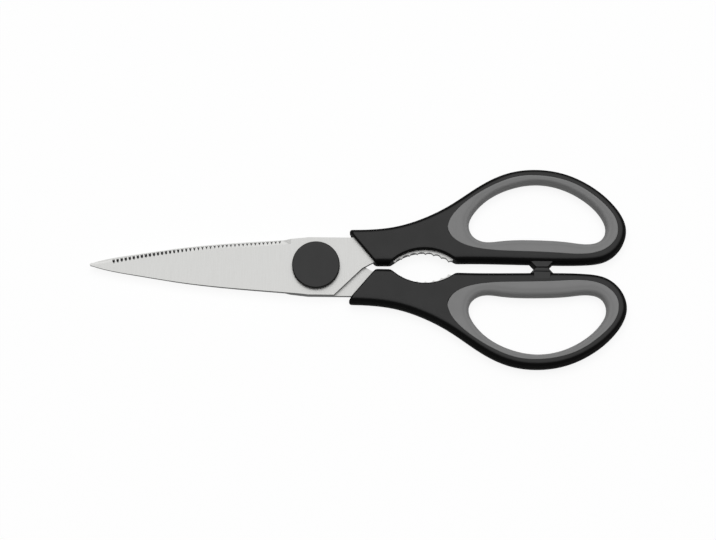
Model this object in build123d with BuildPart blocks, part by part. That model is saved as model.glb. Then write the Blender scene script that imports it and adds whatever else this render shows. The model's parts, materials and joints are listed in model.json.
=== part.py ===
from build123d import *
import os
from math import atan2, cos, degrees, radians, sin, tan

# Kitchen shears, closed, lying on the nut of their pivot and on their handles.
# The origin is on the pivot axis in the plane that they lie on. +X runs to the
# handles, +Y to the upper handle and +Z up. All sizes are in millimetres.
# The front half is the front blade with the upper handle. The back half is the
# same shape turned over about the X direction, and carries the pivot.

# Both blades
blade_reach = 88.6
blade_half_width = 11.5
blade_thickness = 2.2
tip_thickness = 1.2
tip_taper_start = 26.0
tip_half_width = 0.6
ricasso_end = 6.0
bevel_width = 2.0
bevel_run_out = 3.3
edge_thickness = 0.3
# Half widths along the blade, as shares of its reach and of its half width
spine_shares = ((0.955, 0.14), (0.78, 0.395), (0.60, 0.612), (0.42, 0.767), (0.25, 0.872))
spine_root_share = 0.97
edge_setback = 0.4

# Serrations of the front blade's edge, and the plain stretch at its tip
serration_pitch = 1.6
serration_width = 1.05
serration_depth_at_tip = 2.0
serration_depth_at_rear = 1.5
serration_drop = 0.2
serration_clear_share = 1.4
serration_plain_tip = 8.7
serration_plain_rear = 13.2

# Shank behind the pivot, and the tang inside the handle
shoulder_start = 7.1
shoulder_end_x = 18.0
shoulder_end_y = 0.8
shank_x = 22.5
shank_y = 1.7
shank_round = 3.0
tang_cover = 1.6
tang_straight_end = 33.0
tang_rise_x = 51.0
tang_rise_y = 14.2
tang_end = 56.5
tang_end_top = 11.5
tang_end_bottom = 5.2
tang_hole_diameter = 4.5
tang_front_hole_x = 26.0
tang_front_hole_y = 7.0
tang_rear_hole_x = 50.5
tang_rear_hole_y = 10.2

# Handles
handle_reach = 121.6
handle_half_width = 40.0
foot_length = 46.0
handle_thickness = 10.4
parting_band = 2.6
side_inset = 1.05
outer_round = 2.6
hole_round = 2.0
crown_share = 0.97
end_distance = 18.7
end_angle = 40.0
end_round = 1.0
foot_gap = 0.85
loop_gap = 1.75
# Outer side of a handle: the foot and the loop, as shares of their lengths and of the half width
foot_shares = ((0.0, 0.375), (0.436, 0.375), (0.674, 0.408), (0.891, 0.486))
loop_shares = (
    (0.093, 0.641), (0.244, 0.835), (0.397, 0.968), (0.535, 1.0), (0.675, 0.963),
    (0.82, 0.838), (0.932, 0.658), (1.0, 0.395), (0.971, 0.2125), (0.896, 0.09),
)
# Inner side of the loop and the foot, as shares of their lengths and of the gap there
loop_side_shares = ((0.783, 1.12), (0.614, 1.0), (0.373, 1.14), (0.131, 1.14))
foot_side_shares = ((0.634, 1.0), (0.317, 1.0), (0.0, 1.0))

# Finger hole, and its outline as shares of its own length and width
hole_lead = 13.8
rear_rim = 8.0
top_rim = 5.7
inner_bar = 8.35
hole_shares = (
    (0.0, 0.293), (0.045, 0.529), (0.16, 0.771), (0.305, 0.926), (0.49, 1.0), (0.669, 0.938),
    (0.851, 0.727), (0.97, 0.45), (1.0, 0.244), (0.963, 0.062), (0.888, 0.0), (0.742, 0.021),
    (0.487, 0.054), (0.232, 0.033), (0.086, 0.032), (0.022, 0.13),
)

# Soft grip round the finger hole, over a web of the hard handle
grip_front_width = 8.4
grip_rear_width = 4.5
grip_top_width = 2.6
grip_inner_width = 4.7
web_thickness = 5.2
web_cover = 1.8
seam_shares = (
    (0.0, 0.325), (0.044, 0.522), (0.118, 0.67), (0.193, 0.781), (0.31, 0.912), (0.425, 0.988),
    (0.518, 1.0), (0.66, 0.961), (0.777, 0.868), (0.882, 0.716), (0.944, 0.59), (0.99, 0.438),
    (1.0, 0.325), (0.99, 0.21), (0.966, 0.136), (0.918, 0.058), (0.835, 0.004), (0.66, 0.004),
    (0.425, 0.022), (0.193, 0.052), (0.095, 0.105), (0.034, 0.185),
)

# Gripping jaw behind the pivot
jaw_x = 42.6
jaw_radius = 19.0
jaw_depth = 6.8
jaw_round = 1.1
jaw_tooth_reach = 1.55
jaw_tooth_depth = 0.7
jaw_tooth_pitch = 3.18
jaw_tooth_count = 7
jaw_tooth_lead = 0.7
jaw_tooth_shift = 0.63
jaw_strip_share = 0.975
jaw_tail_length = 2.1
jaw_tail_rise = 0.45

# Stop pads between the handles
stop_x = 88.3
stop_face_length = 5.3
stop_base_length = 9.0
stop_height = 8.0
stop_root_length = 6.4
stop_root_height = 5.6
stop_root_depth = 2.0
stop_seat = 0.6

# Pivot: a keyed nut through both blades, a screw, washers and a cover
barrel_diameter = 7.0
barrel_flats = 6.0
pivot_fit = 0.05
flange_diameter = 13.0
flange_edge = 0.5
spanner_hole_spacing = 8.0
spanner_hole_diameter = 1.6
spanner_hole_depth = 1.2
nut_floor = 1.2
friction_thickness = 0.4
friction_diameter = 12.6
spring_thickness = 0.35
spring_height = 0.6
spring_diameter = 11.6
screw_diameter = 4.0
screw_head_diameter = 12.4
screw_head_height = 1.1
screw_slot_width = 1.2
screw_slot_depth = 0.6
screw_end_gap = 0.8
cover_diameter = 18.65
cover_top = 0.7
cover_wall = 1.2
cover_ring_wall = 1.0
cover_lip = 0.2
cover_lip_height = 0.35
cover_edge_round = 0.5
blade_clearance = 0.15

# One overrun for every cut
overrun = 1.0
# Limit that tells an upright wall from its neighbours
upright_share = 0.01

mid_height = handle_thickness / 2
front_face = mid_height + blade_thickness
back_face = mid_height - blade_thickness
turn_axis = Axis((0, 0, mid_height), (1, 0, 0))


def share_points(shares, corner, size):
    """Outline points from shares of a box that has its low corner at corner."""
    return [(corner[0] + share_x * size[0], corner[1] + share_y * size[1]) for share_x, share_y in shares]


# The blade blank, as seen from the front
tip_x = -blade_reach
ricasso_half = spine_root_share * blade_half_width
spine_points = [(-share_x * blade_reach, -share_y * blade_half_width) for share_x, share_y in spine_shares]
spine_points.insert(0, (tip_x + tip_half_width, -tip_half_width))
spine_points.append((-ricasso_end, -ricasso_half))
edge_points = [
    (-share_x * blade_reach, share_y * blade_half_width - edge_setback) for share_x, share_y in spine_shares
]
edge_points.insert(0, (tip_x + tip_half_width, tip_half_width))
edge_end_half = edge_points[-1][1] + (ricasso_half - edge_points[-1][1]) / 2
edge_points.append((-serration_plain_rear, edge_end_half))
# The bevel's upper side lies inwards of the edge, and behind it the bevel rises to the face in a ramp
bevel_rise = blade_thickness - edge_thickness
bevel_stretch = (bevel_rise + overrun) / bevel_rise
bevel_drop = bevel_width * bevel_stretch
ramp_end_x = bevel_run_out * bevel_stretch - serration_plain_rear
ramp_share = (ramp_end_x + serration_plain_rear) / (serration_plain_rear - ricasso_end / 2)
ramp_end_half = edge_end_half + ramp_share * (blade_half_width - edge_end_half)
bevel_points = [(x, y - bevel_drop) for x, y in edge_points[:-1] + [(ramp_end_x, ramp_end_half)]]

# Toothed strip of the jaw, on an arc about a point a little ahead of the jaw's centre
jaw_y = jaw_depth - jaw_radius
tooth_centre_x = jaw_x - jaw_tooth_lead
tooth_tip_radius = jaw_radius - jaw_tooth_reach
tooth_step = jaw_tooth_pitch / tooth_tip_radius
strip_middle_angle = -jaw_tooth_shift / tooth_tip_radius
strip_half_angle = jaw_strip_share * tooth_step * jaw_tooth_count / 2
strip_front_angle = strip_middle_angle - strip_half_angle
strip_rear_angle = strip_middle_angle + strip_half_angle
strip_front_x = tooth_centre_x + tooth_tip_radius * sin(strip_front_angle)
strip_front_y = jaw_y + tooth_tip_radius * cos(strip_front_angle)
strip_rear_x = tooth_centre_x + tooth_tip_radius * sin(strip_rear_angle)
strip_rear_y = jaw_y + tooth_tip_radius * cos(strip_rear_angle)
tooth_notch_radius = ((jaw_tooth_pitch / 2) ** 2 + jaw_tooth_depth**2) / (2 * jaw_tooth_depth)
tang_low = foot_gap + tang_cover

with BuildPart() as blade_blank:
    with BuildSketch(Plane.XY.offset(mid_height)):
        with BuildLine():
            spine = Spline(*spine_points)
            edge = Spline(*edge_points)
            ThreePointArc(spine @ 0, (tip_x, 0), edge @ 0)
            Polyline(
                spine @ 1,
                (-ricasso_end / 2, -blade_half_width),
                (shoulder_start, -blade_half_width),
                (shoulder_end_x, -shoulder_end_y),
                (shank_x, shank_y),
                (shank_x + tang_cover, tang_low),
                (strip_front_x - tang_cover, tang_low),
                (strip_front_x, strip_front_y),
            )
            CenterArc(
                (tooth_centre_x, jaw_y),
                tooth_tip_radius,
                90 - degrees(strip_front_angle),
                -2 * degrees(strip_half_angle),
            )
            Polyline(
                (strip_rear_x, strip_rear_y),
                (strip_rear_x + jaw_tail_length, strip_rear_y + jaw_tail_rise),
                (strip_rear_x + jaw_tail_length, tang_end_bottom),
                (tang_end, tang_end_bottom),
                (tang_end, tang_end_top),
                (tang_rise_x, tang_rise_y),
                (tang_straight_end, blade_half_width),
                (-ricasso_end / 2, blade_half_width),
                edge @ 1,
            )
        make_face()
    extrude(amount=blade_thickness)
    upright_edges = blade_blank.edges().filter_by(Axis.Z)
    fillet(upright_edges.sort_by_distance((shoulder_end_x, -shoulder_end_y, mid_height))[0], shank_round)
    # Grind the bevel of the cutting edge into the outer face
    for height, points in ((0, edge_points), (bevel_rise + overrun, bevel_points)):
        with BuildSketch(Plane.XY.offset(mid_height + edge_thickness + height)):
            with BuildLine():
                lip = Spline(*points)
                Polyline(
                    lip @ 0,
                    (tip_x - overrun, points[0][1]),
                    (tip_x - overrun, blade_half_width + overrun),
                    (points[-1][0], blade_half_width + overrun),
                    lip @ 1,
                )
            make_face()
    loft(ruled=True, mode=Mode.SUBTRACT)
    # Slim the blade to its tip, on the outer face
    with BuildSketch(Plane.XZ):
        with BuildLine():
            Polyline(
                (-tip_taper_start, front_face),
                (tip_x, mid_height + tip_thickness),
                (tip_x - overrun, mid_height + tip_thickness),
                (tip_x - overrun, front_face + overrun),
                (-tip_taper_start, front_face + overrun),
                close=True,
            )
        make_face()
    extrude(amount=blade_half_width + overrun, both=True, mode=Mode.SUBTRACT)
    # Scallops of the gripping jaw
    for tooth in range(jaw_tooth_count):
        tooth_angle = strip_middle_angle + (tooth - (jaw_tooth_count - 1) / 2) * tooth_step
        notch_reach = tooth_tip_radius + jaw_tooth_depth - tooth_notch_radius
        notch_x = tooth_centre_x + notch_reach * sin(tooth_angle)
        notch_y = jaw_y + notch_reach * cos(tooth_angle)
        with BuildSketch(Plane.XY.offset(mid_height - overrun)):
            with Locations((notch_x, notch_y)):
                Circle(tooth_notch_radius)
        extrude(amount=blade_thickness + 2 * overrun, mode=Mode.SUBTRACT)
    # Holes that the handle's plastic flows through
    with BuildSketch(Plane.XY.offset(mid_height - overrun)):
        with Locations((tang_front_hole_x, tang_front_hole_y), (tang_rear_hole_x, tang_rear_hole_y)):
            Circle(tang_hole_diameter / 2)
    extrude(amount=blade_thickness + 2 * overrun, mode=Mode.SUBTRACT)

# Front blade, with the serrated edge
serration_count = int((edge.length - serration_plain_tip) / serration_pitch) + 1

with BuildPart() as front_blade:
    add(blade_blank.part)
    # Each serration is a V groove square to the edge, whose floor slopes down through the bevel
    for notch in range(serration_count):
        along_edge = serration_plain_tip + notch * serration_pitch
        root = edge.position_at(along_edge, position_mode=PositionMode.LENGTH)
        edge_line = edge.tangent_at(along_edge, position_mode=PositionMode.LENGTH)
        depth_share = notch / (serration_count - 1)
        depth = serration_depth_at_tip + (serration_depth_at_rear - serration_depth_at_tip) * depth_share
        taper_share = max(0, (-tip_taper_start - root.X) / (blade_reach - tip_taper_start))
        local_thickness = blade_thickness - (blade_thickness - tip_thickness) * taper_share
        knee = min(depth, bevel_width * (local_thickness - edge_thickness) / bevel_rise)
        floor_rise = edge_thickness + bevel_rise * knee / bevel_width + serration_drop
        floor_line = Vector(edge_line.Y * depth, -edge_line.X * depth, floor_rise)
        deepest_cut = max(edge_thickness + serration_drop, floor_rise * (1 - knee / depth))
        groove_height = deepest_cut * depth / floor_line.length
        groove_origin = (root.X, root.Y, mid_height - serration_drop)
        groove_plane = Plane(origin=groove_origin, x_dir=edge_line, z_dir=floor_line)
        side_x = serration_clear_share * serration_width / 2
        side_y = serration_clear_share * groove_height
        with BuildSketch(groove_plane):
            with BuildLine():
                Polyline((0, 0), (side_x, side_y), (-side_x, side_y), close=True)
            make_face()
    extrude(amount=blade_thickness + overrun, both=True, mode=Mode.SUBTRACT)
    with BuildSketch(Plane.XY.offset(mid_height - overrun)):
        Circle(barrel_diameter / 2 + pivot_fit)
    extrude(amount=blade_thickness + 2 * overrun, mode=Mode.SUBTRACT)

# The shape of a whole handle, hard and soft plastic together
draft_height = (handle_thickness - parting_band) / 2
draft_lean = atan2(side_inset, draft_height)
round_spread = tan((radians(90) - draft_lean) / 2)
hole_corner = (foot_length + hole_lead, loop_gap + inner_bar)
hole_size = (handle_reach - rear_rim - hole_corner[0], handle_half_width - top_rim - hole_corner[1])
hole_points = share_points(hole_shares, hole_corner, hole_size)
loop_length = handle_reach - foot_length
outer_points = share_points(foot_shares, (0, 0), (foot_length, handle_half_width))
outer_points += share_points(loop_shares, (foot_length, 0), (loop_length, handle_half_width))
outer_points += share_points(loop_side_shares, (foot_length, 0), (loop_length, loop_gap))
outer_points += share_points(foot_side_shares, (0, 0), (foot_length, foot_gap))
end_normal = Vector(cos(radians(end_angle)), sin(radians(end_angle)))
end_plane = Plane(origin=end_normal * end_distance, x_dir=(0, 0, 1), z_dir=-end_normal)

with BuildPart() as handle_blank:
    with BuildSketch():
        with BuildLine():
            outer_side = Spline(*outer_points)
            Line(outer_side @ 1, outer_side @ 0)
        make_face()
        with BuildLine():
            hole_side = Spline(*hole_points, periodic=True)
        make_face(mode=Mode.SUBTRACT)
    extrude(amount=handle_thickness)
    # The rounds leave a narrow flat crown where the loop is narrowest
    crown_width = outer_side.distance_to(hole_side) - 2 * side_inset
    round_share = min(1, crown_share * crown_width / ((outer_round + hole_round) * round_spread))
    # Mould draft above and below the parting band
    for end in (0, -1):
        for wall_index in (0, 1):
            curved_walls = handle_blank.faces().filter_by(GeomType.PLANE, reverse=True)
            upright_walls = curved_walls.filter_by(lambda wall: abs(wall.normal_at().Z) < upright_share)
            wall = upright_walls.sort_by(SortBy.AREA)[wall_index]
            rim = wall.edges().sort_by(Axis.Z)[end]
            chamfer(rim, length=draft_height, length2=side_inset, reference=wall)
    # Round the loop to its crown, outside and inside
    crowns = handle_blank.faces().filter_by(Axis.Z)
    fillet(crowns.edges().sort_by(SortBy.LENGTH)[-2:], outer_round * round_share)
    crowns = handle_blank.faces().filter_by(Axis.Z)
    hole_rims = [crown.inner_wires()[0].edge() for crown in crowns]
    fillet(hole_rims, hole_round * round_share)
    # Slanted front end, and the hollow of the gripping jaw
    with BuildSketch(end_plane):
        Rectangle(4 * handle_thickness, 2 * handle_half_width)
    extrude(amount=end_distance + overrun, mode=Mode.SUBTRACT)
    with BuildSketch(Plane.XY.offset(-overrun)):
        with Locations((jaw_x, jaw_y)):
            Circle(jaw_radius)
    extrude(amount=handle_thickness + 2 * overrun, mode=Mode.SUBTRACT)
    fillet(handle_blank.faces().filter_by(GeomType.CYLINDER).edges(), jaw_round)
    fillet(handle_blank.faces().filter_by(end_plane).edges(), end_round)

# Space of the soft grip: everything inside the seam but the web
seam_corner = (hole_corner[0] - grip_front_width, hole_corner[1] - grip_inner_width)
seam_size = (
    hole_size[0] + grip_front_width + grip_rear_width,
    hole_size[1] + grip_inner_width + grip_top_width,
)
seam_points = share_points(seam_shares, seam_corner, seam_size)
web_corner = (hole_corner[0] - web_cover, hole_corner[1] - web_cover)
web_size = (hole_size[0] + 2 * web_cover, hole_size[1] + 2 * web_cover)
web_points = share_points(hole_shares, web_corner, web_size)

with BuildPart() as grip_space:
    with BuildSketch(Plane.XY.offset(-overrun)):
        with BuildLine():
            Spline(*seam_points, periodic=True)
        make_face()
    extrude(amount=handle_thickness + 2 * overrun)
    with BuildSketch(Plane.XY.offset(mid_height - web_thickness / 2)):
        Rectangle(4 * handle_reach, 4 * handle_half_width)
        with BuildLine():
            Spline(*web_points, periodic=True)
        make_face(mode=Mode.SUBTRACT)
    extrude(amount=web_thickness, mode=Mode.SUBTRACT)

# Stop pad of the upper handle, rooted in a pocket of the handle
with BuildPart() as upper_stop_pad:
    with BuildSketch(Plane.XY.offset(mid_height - stop_height / 2)):
        with BuildLine():
            Polyline(
                (stop_x - stop_face_length / 2, 0),
                (stop_x + stop_face_length / 2, 0),
                (stop_x + stop_base_length / 2, loop_gap + stop_seat),
                (stop_x - stop_base_length / 2, loop_gap + stop_seat),
                close=True,
            )
        make_face()
    extrude(amount=stop_height)
    with BuildSketch(Plane.XY.offset(mid_height - stop_root_height / 2)):
        with Locations((stop_x, (loop_gap + stop_root_depth) / 2)):
            Rectangle(stop_root_length, loop_gap + stop_root_depth)
    extrude(amount=stop_root_height)

with BuildPart() as upper_grip:
    add(handle_blank.part)
    add(grip_space.part, mode=Mode.INTERSECT)

with BuildPart() as upper_handle:
    add(handle_blank.part)
    add(grip_space.part, mode=Mode.SUBTRACT)
    add(front_blade.part, mode=Mode.SUBTRACT)
    add(upper_stop_pad.part, mode=Mode.SUBTRACT)

# The back half's handle is the front half's, turned over
with BuildPart() as lower_grip:
    add(upper_grip.part.rotate(turn_axis, 180))

with BuildPart() as lower_handle:
    add(upper_handle.part.rotate(turn_axis, 180))

with BuildPart() as lower_stop_pad:
    add(upper_stop_pad.part.rotate(turn_axis, 180))

# Back blade: plain edge, and a hole that keys the nut
with BuildPart() as back_blade:
    add(blade_blank.part.rotate(turn_axis, 180))
    with BuildSketch(Plane.XY.offset(back_face - overrun)):
        Circle(barrel_diameter / 2 + pivot_fit)
        Rectangle(2 * barrel_diameter, barrel_flats + 2 * pivot_fit, mode=Mode.INTERSECT)
    extrude(amount=blade_thickness + 2 * overrun, mode=Mode.SUBTRACT)

# Nut: flange behind the back blade, keyed neck, and the barrel that the front blade turns on
friction_top = front_face + friction_thickness
barrel_top = friction_top + spring_height
head_top = barrel_top + screw_head_height

with BuildPart() as pivot_nut:
    with BuildSketch():
        Circle(flange_diameter / 2)
    extrude(amount=back_face)
    chamfer(pivot_nut.edges().sort_by(Axis.Z)[0], flange_edge)
    with BuildSketch(Plane.XY.offset(back_face)):
        Circle(barrel_diameter / 2)
        Rectangle(2 * barrel_diameter, barrel_flats, mode=Mode.INTERSECT)
    extrude(amount=blade_thickness)
    with BuildSketch(Plane.XY.offset(mid_height)):
        Circle(barrel_diameter / 2)
    extrude(amount=barrel_top - mid_height)
    with BuildSketch(Plane.XY.offset(nut_floor)):
        Circle(screw_diameter / 2 + pivot_fit)
    extrude(amount=barrel_top - nut_floor + overrun, mode=Mode.SUBTRACT)
    with BuildSketch(Plane.XY.offset(-overrun)):
        with GridLocations(spanner_hole_spacing, 0, 2, 1):
            Circle(spanner_hole_diameter / 2)
    extrude(amount=spanner_hole_depth + overrun, mode=Mode.SUBTRACT)

with BuildPart() as friction_washer:
    with BuildSketch(Plane.XY.offset(front_face)):
        Circle(friction_diameter / 2)
        Circle(barrel_diameter / 2 + pivot_fit, mode=Mode.SUBTRACT)
    extrude(amount=friction_thickness)

# Dished spring washer, pressed between the friction washer and the screw's head
with BuildPart() as spring_washer:
    with BuildSketch(Plane.XZ):
        with BuildLine():
            Polyline(
                (barrel_diameter / 2 + pivot_fit, barrel_top),
                (barrel_diameter / 2 + pivot_fit, barrel_top - spring_thickness),
                (spring_diameter / 2, friction_top),
                (spring_diameter / 2, friction_top + spring_thickness),
                close=True,
            )
        make_face()
    revolve(axis=Axis.Z)

with BuildPart() as pivot_screw:
    with BuildSketch(Plane.XY.offset(barrel_top)):
        Circle(screw_head_diameter / 2)
    extrude(amount=screw_head_height)
    with BuildSketch(Plane.XY.offset(nut_floor + screw_end_gap)):
        Circle(screw_diameter / 2)
    extrude(amount=barrel_top - nut_floor - screw_end_gap)
    with BuildSketch(Plane.XY.offset(head_top - screw_slot_depth)):
        Rectangle(screw_head_diameter + 2 * overrun, screw_slot_width)
    extrude(amount=screw_slot_depth + overrun, mode=Mode.SUBTRACT)

# Cover: a cap that snaps over the screw's head, just clear of the front blade
cover_base = front_face + blade_clearance
head_radius = screw_head_diameter / 2
lip_base = barrel_top - cover_lip_height

with BuildPart() as pivot_cover:
    with BuildSketch(Plane.XZ):
        with BuildLine():
            Polyline(
                (0, head_top),
                (head_radius, head_top),
                (head_radius, barrel_top),
                (head_radius - cover_lip, barrel_top),
                (head_radius - cover_lip, lip_base),
                (head_radius + cover_ring_wall, lip_base),
                (head_radius + cover_ring_wall, head_top),
                (cover_diameter / 2 - cover_wall, head_top),
                (cover_diameter / 2 - cover_wall, cover_base),
                (cover_diameter / 2, cover_base),
                (cover_diameter / 2, head_top + cover_top),
                (0, head_top + cover_top),
                close=True,
            )
        make_face()
    revolve(axis=Axis.Z)
    fillet(pivot_cover.edges().group_by(Axis.Z)[-1], cover_edge_round)

os.makedirs("parts", exist_ok=True)

front_blade.part.label = "front_blade"
export_step(front_blade.part, "parts/front_blade.step")
back_blade.part.label = "back_blade"
export_step(back_blade.part, "parts/back_blade.step")
upper_handle.part.label = "upper_handle"
export_step(upper_handle.part, "parts/upper_handle.step")
lower_handle.part.label = "lower_handle"
export_step(lower_handle.part, "parts/lower_handle.step")
upper_grip.part.label = "upper_grip"
export_step(upper_grip.part, "parts/upper_grip.step")
lower_grip.part.label = "lower_grip"
export_step(lower_grip.part, "parts/lower_grip.step")
upper_stop_pad.part.label = "upper_stop_pad"
export_step(upper_stop_pad.part, "parts/upper_stop_pad.step")
lower_stop_pad.part.label = "lower_stop_pad"
export_step(lower_stop_pad.part, "parts/lower_stop_pad.step")
pivot_nut.part.label = "pivot_nut"
export_step(pivot_nut.part, "parts/pivot_nut.step")
friction_washer.part.label = "friction_washer"
export_step(friction_washer.part, "parts/friction_washer.step")
spring_washer.part.label = "spring_washer"
export_step(spring_washer.part, "parts/spring_washer.step")
pivot_screw.part.label = "pivot_screw"
export_step(pivot_screw.part, "parts/pivot_screw.step")
pivot_cover.part.label = "pivot_cover"
export_step(pivot_cover.part, "parts/pivot_cover.step")
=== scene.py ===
from math import atan2, cos, pi, radians, sin, tan

import bpy
import numpy as np
from mathutils import Matrix, Vector
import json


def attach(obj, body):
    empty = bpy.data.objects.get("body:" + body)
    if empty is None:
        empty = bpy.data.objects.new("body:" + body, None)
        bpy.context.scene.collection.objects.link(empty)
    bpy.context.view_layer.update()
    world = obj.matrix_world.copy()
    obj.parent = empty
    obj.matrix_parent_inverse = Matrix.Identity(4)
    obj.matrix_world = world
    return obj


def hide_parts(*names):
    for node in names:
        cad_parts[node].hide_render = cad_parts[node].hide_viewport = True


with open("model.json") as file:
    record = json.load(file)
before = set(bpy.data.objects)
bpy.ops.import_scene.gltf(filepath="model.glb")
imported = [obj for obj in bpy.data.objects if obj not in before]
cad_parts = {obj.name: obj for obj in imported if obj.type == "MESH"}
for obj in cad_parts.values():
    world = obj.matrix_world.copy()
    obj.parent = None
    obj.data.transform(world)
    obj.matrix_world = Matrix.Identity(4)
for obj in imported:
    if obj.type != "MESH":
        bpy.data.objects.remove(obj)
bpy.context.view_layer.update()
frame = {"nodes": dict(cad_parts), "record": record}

MM = 0.001

# Camera: the photograph was taken from the side of the lower handle, nearly from above
CAMERA_TILT = radians(13.2)
CAMERA_ROLL = radians(0.593)
CAMERA_DISTANCE = 1138.8 * MM
CAMERA_AIM = Vector((16.47, -1.01, 5.2)) * MM
CAMERA_LENS = 146.1

# Softbox above the shears, in metres
SOFTBOX_PLACE = (0.02, 0.2, 2.0)
SOFTBOX_SIZE = 1.46
SOFTBOX_WATTS = 29.0

# Table top: half its width in metres, and how far it lies under the shears
FLOOR_HALF = 3.0
FLOOR_DROP = 0.1 * MM
FLOOR_GLOW_SHARE = 0.88

# Upright part of a surface's normal: up to the first value it is a side, from the second it is a face. Sides
# carry a painted shade on the steel and the black plastics, and a painted light on the grey grip
STEEL_LEVELS = (0.60, 0.66)
PLASTIC_LEVELS = (0.78, 0.92)

# Shading is smooth across edges that are blunter than this
SHARP_ANGLE = radians(35)

# The sizes below are in millimetres
MID_HEIGHT = 5.2
PARTING_BAND = 2.6
SIDE_INSET = 1.05
HOLE_ROUND = 3.2
WEB_COVER = 1.8
WEB_THICKNESS = 5.2

# Finger hole of the upper handle: its box, and its outline as shares of that box
HOLE_CORNER = (59.8, 10.1)
HOLE_SIZE = (53.8, 24.2)
HOLE_SHARES = (
    (0.0, 0.293), (0.045, 0.529), (0.16, 0.771), (0.305, 0.926), (0.49, 1.0), (0.669, 0.938),
    (0.851, 0.727), (0.97, 0.45), (1.0, 0.244), (0.963, 0.062), (0.888, 0.0), (0.742, 0.021),
    (0.487, 0.054), (0.232, 0.033), (0.086, 0.032), (0.022, 0.13),
)

# Seam between the hard handle and the soft grip, in the same way
SEAM_CORNER = (51.4, 5.4)
SEAM_SIZE = (66.7, 31.5)
SEAM_SHARES = (
    (0.0, 0.325), (0.044, 0.522), (0.118, 0.67), (0.193, 0.781), (0.31, 0.912), (0.425, 0.988),
    (0.518, 1.0), (0.66, 0.961), (0.777, 0.868), (0.882, 0.716), (0.944, 0.59), (0.99, 0.438),
    (1.0, 0.325), (0.99, 0.21), (0.966, 0.136), (0.918, 0.058), (0.835, 0.004), (0.66, 0.004),
    (0.425, 0.022), (0.193, 0.052), (0.095, 0.105), (0.034, 0.185),
)
SEAM_ROUND = 0.3
CROWN_DROP = 0.3

# Stop pads: a wedge with a rounded nose, and a root in the handle's pocket
STOP_X = 88.3
STOP_FACE_LENGTH = 4.7
STOP_BASE_LENGTH = 9.0
STOP_HEIGHT = 8.0
STOP_SEAT_Y = 2.35
STOP_ROUND = 0.45
STOP_CORNER = 0.5
ROOT_LENGTH = 6.4
ROOT_HEIGHT = 5.6
ROOT_END_Y = 3.75
ROOT_CORNER = 0.2

# Tongue of a stop pad: each station's y, the inset of its two ends, and its lowest and highest z
TONGUE_LENGTH = 6.6
TONGUE_CORNER = 0.3
TONGUE_STATIONS = (
    (1.5, 0.5, 0.9, 2.6),
    (1.7, 0.15, 0.55, 2.6),
    (2.2, 0.0, 0.25, 2.6),
    (3.0, 0.0, 0.065, 2.6),
    (3.6, 0.0, 0.015, 2.6),
    (4.75, 0.1, 0.015, 2.4),
)

# Pivot cover
COVER_RADIUS = 9.325
COVER_BASE = 7.55
COVER_TOP = 10.2
COVER_WALL = 1.2
COVER_ROOF = 0.7
COVER_ROUND = 0.6
COVER_DOME = 0.12
COVER_CHAMFER = 0.1

# Points of the meshes
CHORD_STEPS = 60
HOLE_STEPS = 320
SEAM_STEPS = 1600
HOLE_ROUND_STEPS = 12
CROWN_STEPS = 8
SEAM_ROUND_STEPS = 6
BLOCK_CORNER_STEPS = 6
NOSE_STEPS = 6
ROOF_STEPS = 10
COVER_ROUND_STEPS = 9
COVER_SIDES = 128


def linear(colour):
    """An sRGB hex colour such as "d2d2d0" as a linear RGBA tuple."""
    shares = [int(colour[i:i + 2], 16) / 255 for i in (0, 2, 4)]
    return tuple(s / 12.92 if s <= 0.04045 else ((s + 0.055) / 1.055) ** 2.4 for s in shares) + (1.0,)


def add_node(tree, kind, inputs=None, **settings):
    """Adds a node. inputs gives its sockets a value, or the output that each is linked to."""
    node = tree.nodes.new(kind)
    for name, value in settings.items():
        setattr(node, name, value)
    for name, value in (inputs or {}).items():
        if isinstance(value, bpy.types.NodeSocket):
            tree.links.new(value, node.inputs[name])
        else:
            node.inputs[name].default_value = value
    return node


def new_material(name):
    """An empty node material, with its tree, its output node and its Object coordinates."""
    material = bpy.data.materials.new(name)
    material.use_nodes = True
    tree = material.node_tree
    tree.nodes.clear()
    output = tree.nodes.new("ShaderNodeOutputMaterial")
    place = tree.nodes.new("ShaderNodeTexCoord").outputs["Object"]
    return material, tree, output, place


def face_share(tree, normal, levels):
    """0 on the object's steep flanks and 1 on its faces, told apart by the upright part of the normal. It
    marks where painted shade and painted light go.
    """
    direction = tree.nodes.new("ShaderNodeNewGeometry").outputs[normal]
    upright = add_node(tree, "ShaderNodeVectorMath", {0: direction, 1: (0, 0, 1)}, operation="DOT_PRODUCT")
    level = add_node(tree, "ShaderNodeMath", {0: upright.outputs["Value"]}, operation="ABSOLUTE")
    share = add_node(
        tree, "ShaderNodeMapRange",
        {"Value": level.outputs[0], "From Min": levels[0], "From Max": levels[1]},
    )
    return share.outputs[0]


def seen_share(tree):
    """1 for the camera's rays and for what shiny and clear surfaces show of it, and 0 for other rays."""
    path = tree.nodes.new("ShaderNodeLightPath").outputs
    two = add_node(
        tree, "ShaderNodeMath", {0: path["Is Camera Ray"], 1: path["Is Glossy Ray"]}, operation="ADD"
    )
    three = add_node(
        tree, "ShaderNodeMath", {0: two.outputs[0], 1: path["Is Transmission Ray"]},
        operation="ADD", use_clamp=True,
    )
    return three.outputs[0]


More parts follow.
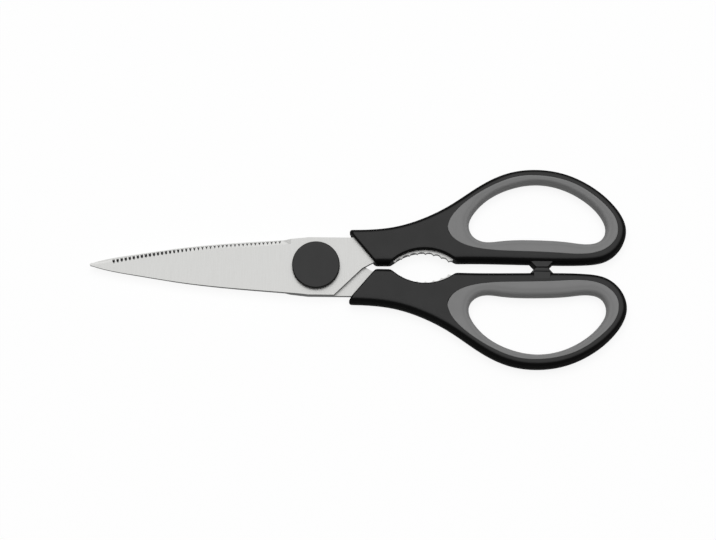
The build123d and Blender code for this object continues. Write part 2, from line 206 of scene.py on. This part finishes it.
def ground_stainless(name):
    """Stainless blade steel, stamped, then ground across the blade with a 240-grit belt.

    The ground faces are pale, neutral and satin, with faint lines across the blade: real ones are
    0.05 mm apart, and they are drawn at 0.3 mm so that they show. The blanked edges and the
    serrations' flanks, which the belt doesn't reach, keep the duller skin of the stamping; their dark
    colour is painted shade.
    """
    line_spacing = 0.3 * MM
    line_length = 8.333 * MM
    line_depth = 0.02 * MM
    cloud_size = 16 * MM
    material, tree, output, place = new_material(name)
    lines = add_node(
        tree, "ShaderNodeMapping",
        {"Vector": place, "Scale": (1 / line_spacing, 1 / line_length, 1 / line_length)},
    )
    grind = add_node(tree, "ShaderNodeTexNoise", {"Vector": lines.outputs[0], "Scale": 1.0, "Detail": 4.0})
    cloud = add_node(tree, "ShaderNodeTexNoise", {"Vector": place, "Scale": 1 / cloud_size, "Detail": 3.0})
    face = add_node(
        tree, "ShaderNodeMix",
        {"Factor": grind.outputs[0], "A": linear("e2e2e0"), "B": linear("eeeeec")},
        data_type="RGBA",
    )
    ground = face_share(tree, "True Normal", STEEL_LEVELS)
    # The steep edges and serration flanks get the dark colour 4c4c4c, a painted shade; only their higher
    # roughness is the stamping's own
    tone = add_node(
        tree, "ShaderNodeMix",
        {"Factor": ground, "A": linear("4c4c4c"), "B": face.outputs["Result"]},
        data_type="RGBA",
    )
    satin = add_node(
        tree, "ShaderNodeMapRange",
        {"Value": cloud.outputs[0], "From Min": 0.3, "From Max": 0.7, "To Min": 0.30, "To Max": 0.36},
    )
    rough = add_node(
        tree, "ShaderNodeMix", {"Factor": ground, "A": 0.55, "B": satin.outputs[0]}, data_type="FLOAT"
    )
    bump = add_node(
        tree, "ShaderNodeBump", {"Height": grind.outputs[0], "Strength": 0.2, "Distance": line_depth}
    )
    shader = add_node(
        tree, "ShaderNodeBsdfPrincipled",
        {
            "Base Color": tone.outputs["Result"],
            "Metallic": 1.0,
            "Roughness": rough.outputs["Result"],
            "Normal": bump.outputs[0],
        },
    )
    tree.links.new(shader.outputs[0], output.inputs[0])
    return material


def turned_steel(name):
    """Free-cutting stainless steel, turned on a lathe about the pivot's axis: a mid grey metal with fine
    rings round the axis, one for each turn of a 0.12 mm feed, drawn at 0.25 mm so that they show."""
    ring_spacing = 0.25 * MM
    ring_depth = 0.02 * MM
    material, tree, output, place = new_material(name)
    flat = add_node(tree, "ShaderNodeVectorMath", {0: place, 1: (1, 1, 0)}, operation="MULTIPLY")
    radius = add_node(tree, "ShaderNodeVectorMath", {0: flat.outputs[0]}, operation="LENGTH")
    rings = add_node(
        tree, "ShaderNodeTexNoise",
        {"W": radius.outputs["Value"], "Scale": 1 / ring_spacing, "Detail": 2.0},
        noise_dimensions="1D",
    )
    tone = add_node(
        tree, "ShaderNodeMix",
        {"Factor": rings.outputs[0], "A": linear("a4a4a2"), "B": linear("bcbcba")},
        data_type="RGBA",
    )
    bump = add_node(
        tree, "ShaderNodeBump", {"Height": rings.outputs[0], "Strength": 0.4, "Distance": ring_depth}
    )
    shader = add_node(
        tree, "ShaderNodeBsdfPrincipled",
        {
            "Base Color": tone.outputs["Result"],
            "Metallic": 1.0,
            "Roughness": 0.28,
            "Normal": bump.outputs[0],
        },
    )
    tree.links.new(shader.outputs[0], output.inputs[0])
    return material


def moulded_plastic(name, dark, light, painted_side_shading, roughness, specular, grain, relief):
    """A polymer moulded in a spark-eroded tool, which leaves it matt: bumps of the size grain in mm and
    of the height relief in mm, with its colour a little lighter and darker in clouds of 6 mm. The steep
    flanks take a colour of their own, which is painted shade where it is darker than the faces and
    painted light where it is lighter."""
    cloud_size = 6 * MM
    material, tree, output, place = new_material(name)
    pits = add_node(tree, "ShaderNodeTexNoise", {"Vector": place, "Scale": 1 / (grain * MM), "Detail": 2.0})
    cloud = add_node(tree, "ShaderNodeTexNoise", {"Vector": place, "Scale": 1 / cloud_size, "Detail": 3.0})
    tone = add_node(
        tree, "ShaderNodeMix",
        {"Factor": cloud.outputs[0], "A": linear(dark), "B": linear(light)},
        data_type="RGBA",
    )
    # The steep flanks are painted in their own colour: painted shade on the black plastics, painted light on
    # the grey grip
    colour = add_node(
        tree, "ShaderNodeMix",
        {
            "Factor": face_share(tree, "Normal", PLASTIC_LEVELS),
            "A": linear(painted_side_shading),
            "B": tone.outputs["Result"],
        },
        data_type="RGBA",
    )
    bump = add_node(
        tree, "ShaderNodeBump", {"Height": pits.outputs[0], "Strength": 0.5, "Distance": relief * MM}
    )
    shader = add_node(
        tree, "ShaderNodeBsdfPrincipled",
        {
            "Base Color": colour.outputs["Result"],
            "Roughness": roughness,
            "Specular IOR Level": specular,
            "Normal": bump.outputs[0],
        },
    )
    tree.links.new(shader.outputs[0], output.inputs[0])
    return material


blade_steel = ground_stainless("ground_stainless")
pivot_steel = turned_steel("turned_steel")
# Black polypropylene, spark-eroded to a fine matt texture: an even dark grey with hardly any sheen, and
# painted shade on its steep flanks
handle_plastic = moulded_plastic(
    "matt_polypropylene", dark="383838", light="3e3e3e", painted_side_shading="141414",
    roughness=0.6, specular=0.01, grain=0.35, relief=0.03,
)
# Grey thermoplastic elastomer, with a slightly coarser texture than the handle and a broad soft sheen, and
# painted light on its steep flanks
grip_rubber = moulded_plastic(
    "soft_tpe", dark="727272", light="7a7a7a", painted_side_shading="848484",
    roughness=0.6, specular=0.6, grain=0.45, relief=0.04,
)
# Black elastomer of the stops: matt, a little lighter than the handle, with painted shade on its steep flanks
stop_rubber = moulded_plastic(
    "stop_tpe", dark="3c3c3c", light="444444", painted_side_shading="161616",
    roughness=0.75, specular=0.02, grain=0.4, relief=0.03,
)
# Black ABS with a satin texture, a little smoother than the handle, with painted shade on its steep flanks
cover_abs = moulded_plastic(
    "satin_abs", dark="3a3a3a", light="404040", painted_side_shading="161616",
    roughness=0.5, specular=0.03, grain=0.3, relief=0.02,
)
# Natural acetal of the washer: milky white, smooth and waxy
washer_acetal = moulded_plastic(
    "natural_acetal", dark="dedcd4", light="e8e6de", painted_side_shading="dedcd4",
    roughness=0.35, specular=0.5, grain=0.3, relief=0.005,
)

finishes = {
    "blade_steel": blade_steel,
    "handle_plastic": handle_plastic,
    "grip_elastomer": grip_rubber,
    "stop_elastomer": stop_rubber,
    "pivot_steel": pivot_steel,
    "washer_plastic": washer_acetal,
    "cover_plastic": cover_abs,
}
for part in frame["record"]["subparts"]:
    mesh = frame["nodes"][part["node"]].data
    mesh.materials.clear()
    mesh.materials.append(finishes[part["material_slot"]])


def grid_faces(rows, columns, close_rows):
    """Quads of a grid of points whose columns close on themselves, and whose rows do too if asked."""
    index = np.arange(rows * columns).reshape(rows, columns)
    start = index if close_rows else index[:-1]
    following = np.roll(index, -1, axis=0) if close_rows else index[1:]
    corners = (start, following, np.roll(following, -1, axis=1), np.roll(start, -1, axis=1))
    return np.stack(corners, axis=-1).reshape(-1, 4)


def add_piece(name, points, faces, replaced, body, slot):
    """A mesh object from points in millimetres, smooth but for its sharp edges, which replaces a CAD
    node, rides on its body and has the finish of its slot."""
    mesh = bpy.data.meshes.new(name)
    mesh.from_pydata((points * MM).tolist(), [], faces)
    mesh.polygons.foreach_set("use_smooth", np.ones(len(mesh.polygons), dtype=bool))
    mesh.set_sharp_from_angle(angle=SHARP_ANGLE)
    mesh.materials.append(finishes[slot])
    piece = bpy.data.objects.new(name, mesh)
    bpy.context.scene.collection.objects.link(piece)
    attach(piece, body)
    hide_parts(replaced)


def turned_over(points):
    """The points turned by 180 degrees about the X direction through the shears' middle height."""
    return points * (1, -1, -1) + (0, 0, 2 * MID_HEIGHT)


def box_points(shares, corner, size):
    """Outline points from shares of a box."""
    return np.array(shares) * size + corner


def closed_spline(points, count):
    """A smooth closed curve through the points, as count points spaced evenly along it.

    Each chord of length h carries a cubic in the distance s along it:
    bend0 (h - s)^3 / 6h + bend1 s^3 / 6h + (p0 / h - bend0 h / 6)(h - s) + (p1 / h - bend1 h / 6) s,
    and the bends solve the equations that make neighbouring cubics meet with the same slope.
    """
    total = len(points)
    after = np.roll(points, -1, axis=0)
    chord = np.linalg.norm(after - points, axis=1)
    slope = (after - points) / chord[:, None]
    row = np.arange(total)
    system = np.zeros((total, total))
    system[row, row] = 2 * (chord + np.roll(chord, 1))
    system[row, (row + 1) % total] = chord
    system[row, row - 1] = np.roll(chord, 1)
    bend = np.linalg.solve(system, 6 * (slope - np.roll(slope, 1, axis=0)))
    bend_after = np.roll(bend, -1, axis=0)
    h = chord[:, None, None]
    s = h * np.linspace(0, 1, CHORD_STEPS, endpoint=False)[None, :, None]
    p0, p1, bend0, bend1 = (value[:, None, :] for value in (points, after, bend, bend_after))
    cubic = bend0 * (h - s) ** 3 / (6 * h) + bend1 * s**3 / (6 * h)
    line = (p0 / h - bend0 * h / 6) * (h - s) + (p1 / h - bend1 * h / 6) * s
    curve = (cubic + line).reshape(-1, 2)
    curve = np.vstack((curve, curve[:1]))
    along = np.concatenate(([0], np.cumsum(np.linalg.norm(np.diff(curve, axis=0), axis=1))))
    wanted = np.linspace(0, along[-1], count, endpoint=False)
    return np.stack([np.interp(wanted, along, curve[:, axis]) for axis in (0, 1)], axis=1)


def distance_to_seam(hole, outward, seam):
    """How far the seam lies from each point of the hole along its outward normal: the nearest place
    where the seam crosses from one side of the normal to the other."""
    ahead = seam[None] - hole[:, None]
    side = ahead[..., 0] * outward[:, None, 1] - ahead[..., 1] * outward[:, None, 0]
    reach = (ahead * outward[:, None]).sum(axis=2)
    next_side = np.roll(side, -1, axis=1)
    next_reach = np.roll(reach, -1, axis=1)
    share = side / np.where(side == next_side, 1, side - next_side)
    crossing = (side * next_side <= 0) & (side != next_side) & (reach > 0)
    return np.where(crossing, reach + (next_reach - reach) * share, np.inf).min(axis=1)


def grip_points():
    """The soft lining of the upper finger hole: a section carried round the hole's outline.

    The section lies square to the outline. From the hole's parting band it follows the draft, rounds
    over to the crown and runs to the seam, where a small round makes a fine groove beside the hard
    handle. Inside, it wraps the handle's web. Its crown falls a little from the seam to the hole,
    and its lower half mirrors its upper half. Only its width changes round the hole.
    """
    hole = closed_spline(box_points(HOLE_SHARES, HOLE_CORNER, HOLE_SIZE), HOLE_STEPS)
    seam = closed_spline(box_points(SEAM_SHARES, SEAM_CORNER, SEAM_SIZE), SEAM_STEPS)
    along = np.roll(hole, -1, axis=0) - np.roll(hole, 1, axis=0)
    outward = np.stack((-along[:, 1], along[:, 0]), axis=1)
    outward /= np.linalg.norm(outward, axis=1)[:, None]
    width = distance_to_seam(hole, outward, seam)[:, None]
    zero = np.zeros_like(width)
    half_band = PARTING_BAND / 2
    draft_height = MID_HEIGHT - half_band
    lean = atan2(SIDE_INSET, draft_height)
    spread = tan((pi / 2 - lean) / 2)
    # Where the lining is narrow, the round over the hole's edge is smaller
    radius = np.minimum(HOLE_ROUND, (width - SEAM_ROUND - SIDE_INSET) / spread)
    centre = SIDE_INSET + spread * radius
    turn = np.linspace(pi - lean, pi / 2, HOLE_ROUND_STEPS)
    arc_out = centre + radius * np.cos(turn)
    arc_up = MID_HEIGHT - radius + radius * np.sin(turn)
    share = np.linspace(0, 1, CROWN_STEPS)[1:]
    crown_out = centre + (width - SEAM_ROUND - centre) * share
    crown_up = np.full_like(crown_out, MID_HEIGHT)
    edge_turn = np.linspace(pi / 2, 0, SEAM_ROUND_STEPS)[1:]
    edge_out = width - SEAM_ROUND + SEAM_ROUND * np.cos(edge_turn)
    edge_up = zero + MID_HEIGHT - SEAM_ROUND + SEAM_ROUND * np.sin(edge_turn)
    web_up = zero + WEB_THICKNESS / 2
    out = np.hstack((zero, arc_out, crown_out, edge_out, width, zero + WEB_COVER))
    up = np.hstack((zero + half_band, arc_up, crown_up, edge_up, web_up, web_up))
    # The crown's fall towards the hole, as a share of the height
    up[:, :-2] *= 1 - CROWN_DROP / MID_HEIGHT * (1 - np.clip(out[:, :-2] / width, 0, 1) ** 2)
    out = np.hstack((out, out[:, ::-1]))
    up = np.hstack((up, -up[:, ::-1]))
    flat = hole[:, None] + outward[:, None] * out[..., None]
    return np.concatenate((flat, MID_HEIGHT + up[..., None]), axis=2)


def lofted_block(stations):
    """Rounded rectangles, each square to Y, joined one after the other, with flat ends.

    A station is its y, half its length along X, its lowest and highest z, and its corner radius. A
    corner's points are its centre plus the radius times the cosine and the sine of an angle.
    """
    quarter = np.linspace(0, pi / 2, BLOCK_CORNER_STEPS)
    angle = np.concatenate([quarter + turn * pi / 2 for turn in range(4)])
    sign_x = np.repeat((1, -1, -1, 1), BLOCK_CORNER_STEPS)
    sign_z = np.repeat((1, 1, -1, -1), BLOCK_CORNER_STEPS)
    y, half, low, high, corner = (np.array(column)[:, None] for column in zip(*stations))
    x = STOP_X + sign_x * (half - corner) + corner * np.cos(angle)
    z = (low + high) / 2 + sign_z * ((high - low) / 2 - corner) + corner * np.sin(angle)
    points = np.stack((x, np.broadcast_to(y, x.shape), z), axis=2)
    rows, columns = x.shape
    faces = grid_faces(rows, columns, close_rows=False).tolist()
    last = (rows - 1) * columns
    faces.append(list(range(columns)))
    faces.append(list(range(last, last + columns))[::-1])
    return points.reshape(-1, 3), faces


def stop_pad():
    """The upper stop pad: a wedge with a rounded nose that meets the lower pad, a root in the handle's
    pocket, and a tongue on the back that covers the handle's rounded edge.

    At the angle t, from 0 on the nose's flat to a right angle on its flanks, the nose's round lies
    back by its radius times 1 - cos t and draws the wedge in by its radius times 1 - sin t.
    """
    low = MID_HEIGHT - STOP_HEIGHT / 2
    high = MID_HEIGHT + STOP_HEIGHT / 2
    widening = (STOP_BASE_LENGTH - STOP_FACE_LENGTH) / 2 / STOP_SEAT_Y
    wedge = []
    for turn in np.linspace(0, pi / 2, NOSE_STEPS):
        y = STOP_ROUND * (1 - cos(turn))
        inset = STOP_ROUND * (1 - sin(turn))
        half = STOP_FACE_LENGTH / 2 + widening * y - inset
        wedge.append((y, half, low + inset, high - inset, STOP_CORNER))
    wedge.append((STOP_SEAT_Y, STOP_BASE_LENGTH / 2, low, high, STOP_CORNER))
    root_low = MID_HEIGHT - ROOT_HEIGHT / 2
    root_high = MID_HEIGHT + ROOT_HEIGHT / 2
    for y in (STOP_SEAT_Y, ROOT_END_Y):
        wedge.append((y, ROOT_LENGTH / 2, root_low, root_high, ROOT_CORNER))
    tongue = [
        (y, TONGUE_LENGTH / 2 - inset, lowest, highest, TONGUE_CORNER)
        for y, inset, lowest, highest in TONGUE_STATIONS
    ]
    wedge_points, wedge_faces = lofted_block(wedge)
    tongue_points, tongue_faces = lofted_block(tongue)
    tongue_faces = [[corner + len(wedge_points) for corner in face] for face in tongue_faces]
    return np.vstack((wedge_points, tongue_points)), wedge_faces + tongue_faces


def cover_mesh():
    """The pivot cover: a closed profile of radius and height turned round the Z axis.

    The roof rises to the middle by the dome's height as 1 - (radius share)^2, and meets the wall in a
    round. Inside is a flat-roofed hollow. The two ends of the profile are single points on the axis.
    """
    edge_top = COVER_TOP - COVER_DOME
    roof = np.linspace(0, 1, ROOF_STEPS)[1:] * (COVER_RADIUS - COVER_ROUND)
    roof_z = edge_top + COVER_DOME * (1 - (roof / roof[-1]) ** 2)
    turn = np.linspace(pi / 2, 0, COVER_ROUND_STEPS)[1:]
    round_r = COVER_RADIUS - COVER_ROUND + COVER_ROUND * np.cos(turn)
    round_z = edge_top - COVER_ROUND + COVER_ROUND * np.sin(turn)
    inner = COVER_RADIUS - COVER_WALL
    hollow_top = COVER_TOP - COVER_ROOF
    wall_r = (COVER_RADIUS, COVER_RADIUS - COVER_CHAMFER, inner, inner)
    wall_z = (COVER_BASE + COVER_CHAMFER, COVER_BASE, COVER_BASE, hollow_top)
    radius = np.concatenate((roof, round_r, wall_r))
    height = np.concatenate((roof_z, round_z, wall_z))
    angle = np.linspace(0, 2 * pi, COVER_SIDES, endpoint=False)
    x = radius[:, None] * np.cos(angle)
    y = radius[:, None] * np.sin(angle)
    rings = np.stack((x, y, np.broadcast_to(height[:, None], x.shape)), axis=2).reshape(-1, 3)
    points = np.vstack((rings, (0, 0, COVER_TOP), (0, 0, hollow_top)))
    rows, columns = x.shape
    faces = grid_faces(rows, columns, close_rows=False).tolist()
    first = np.arange(columns)
    last = first + (rows - 1) * columns
    top, bottom = len(rings), len(rings) + 1
    faces += np.stack((first, np.roll(first, -1), np.full(columns, top)), axis=1).tolist()
    faces += np.stack((np.roll(last, -1), last, np.full(columns, bottom)), axis=1).tolist()
    return points, faces


grip_grid = grip_points()
grip_faces = grid_faces(*grip_grid.shape[:2], close_rows=True).tolist()
upper_grip = grip_grid.reshape(-1, 3)
lower_grip = turned_over(upper_grip)
add_piece("upper_grip_lining", upper_grip, grip_faces, "upper_grip", "front_half", "grip_elastomer")
add_piece("lower_grip_lining", lower_grip, grip_faces, "lower_grip", "back_half", "grip_elastomer")

upper_pad, pad_faces = stop_pad()
lower_pad = turned_over(upper_pad)
add_piece("upper_stop", upper_pad, pad_faces, "upper_stop_pad", "front_half", "stop_elastomer")
add_piece("lower_stop", lower_pad, pad_faces, "lower_stop_pad", "back_half", "stop_elastomer")

add_piece("domed_pivot_cover", *cover_mesh(), "pivot_cover", "back_half", "cover_plastic")


def make_floor():
    """A white table top just under the shears. The camera and the steel see it white, with the shears'
    soft shadow, while it throws only a little light back onto the black handles."""
    corners = [
        (x * FLOOR_HALF, y * FLOOR_HALF, -FLOOR_DROP) for x, y in ((-1, -1), (1, -1), (1, 1), (-1, 1))
    ]
    mesh = bpy.data.meshes.new("floor")
    mesh.from_pydata(corners, [], [(0, 1, 2, 3)])
    floor = bpy.data.objects.new("floor", mesh)
    bpy.context.scene.collection.objects.link(floor)
    material, tree, output, _ = new_material("white_card")
    card = add_node(tree, "ShaderNodeBsdfDiffuse", {"Color": linear("fafafa")})
    glow = add_node(tree, "ShaderNodeEmission", {"Color": linear("ffffff"), "Strength": 1.0})
    white = add_node(
        tree, "ShaderNodeMixShader", {0: FLOOR_GLOW_SHARE, 1: card.outputs[0], 2: glow.outputs[0]}
    )
    dim = add_node(tree, "ShaderNodeBsdfDiffuse", {"Color": linear("484848")})
    both = add_node(
        tree, "ShaderNodeMixShader", {0: seen_share(tree), 1: dim.outputs[0], 2: white.outputs[0]}
    )
    tree.links.new(both.outputs[0], output.inputs[0])
    mesh.materials.append(material)


def light_studio():
    """A round softbox overhead, a little behind the shears, under a pale ceiling in a dim room. The
    camera and the steel see the room's walls pale, darker towards the horizon, and not the softbox."""
    data = bpy.data.lights.new("softbox", "AREA")
    data.shape = "DISK"
    data.size = SOFTBOX_SIZE
    data.energy = SOFTBOX_WATTS
    softbox = bpy.data.objects.new("softbox", data)
    softbox.location = SOFTBOX_PLACE
    softbox.rotation_euler = (-atan2(SOFTBOX_PLACE[1], SOFTBOX_PLACE[2]), 0, 0)
    softbox.visible_camera = False
    softbox.visible_glossy = False
    bpy.context.scene.collection.objects.link(softbox)

    world = bpy.data.worlds.new("studio")
    bpy.context.scene.world = world
    world.use_nodes = True
    tree = world.node_tree
    tree.nodes.clear()
    output = tree.nodes.new("ShaderNodeOutputWorld")
    direction = tree.nodes.new("ShaderNodeTexCoord").outputs["Generated"]
    height = add_node(
        tree, "ShaderNodeVectorMath",
        {0: direction, 1: Vector((0.0, 0.15, 1.0)).normalized()},
        operation="DOT_PRODUCT",
    )
    ceiling = add_node(
        tree, "ShaderNodeMapRange",
        {"Value": height.outputs["Value"], "From Min": 0.68, "From Max": 0.9, "To Min": 0.03, "To Max": 1.05},
        interpolation_type="SMOOTHSTEP",
    )
    walls = add_node(
        tree, "ShaderNodeMapRange",
        {"Value": height.outputs["Value"], "From Min": 0.0, "From Max": 0.75, "To Min": 0.4, "To Max": 1.05},
        interpolation_type="SMOOTHSTEP",
    )
    strength = add_node(
        tree, "ShaderNodeMix",
        {"Factor": seen_share(tree), "A": ceiling.outputs[0], "B": walls.outputs[0]},
        data_type="FLOAT",
    )
    background = add_node(tree, "ShaderNodeBackground", {"Strength": strength.outputs["Result"]})
    tree.links.new(background.outputs[0], output.inputs[0])


def place_camera():
    """The camera at the photograph's angle, turned by its roll about the line of sight."""
    back = Vector((0, -sin(CAMERA_TILT), cos(CAMERA_TILT)))
    up = Vector((0, cos(CAMERA_TILT), sin(CAMERA_TILT)))
    across = Vector((1, 0, 0))
    right = across * cos(CAMERA_ROLL) + up * sin(CAMERA_ROLL)
    top = up * cos(CAMERA_ROLL) - across * sin(CAMERA_ROLL)
    data = bpy.data.cameras.new("camera")
    data.lens = CAMERA_LENS
    data.sensor_width = 36.0
    data.clip_start = 0.05
    data.clip_end = 20.0
    camera = bpy.data.objects.new("camera", data)
    bpy.context.scene.collection.objects.link(camera)
    turn = Matrix((right, top, back)).transposed().to_4x4()
    camera.matrix_world = Matrix.Translation(CAMERA_AIM + back * CAMERA_DISTANCE) @ turn
    bpy.context.scene.camera = camera


make_floor()
light_studio()
place_camera()
bpy.context.scene.view_settings.view_transform = "Standard"
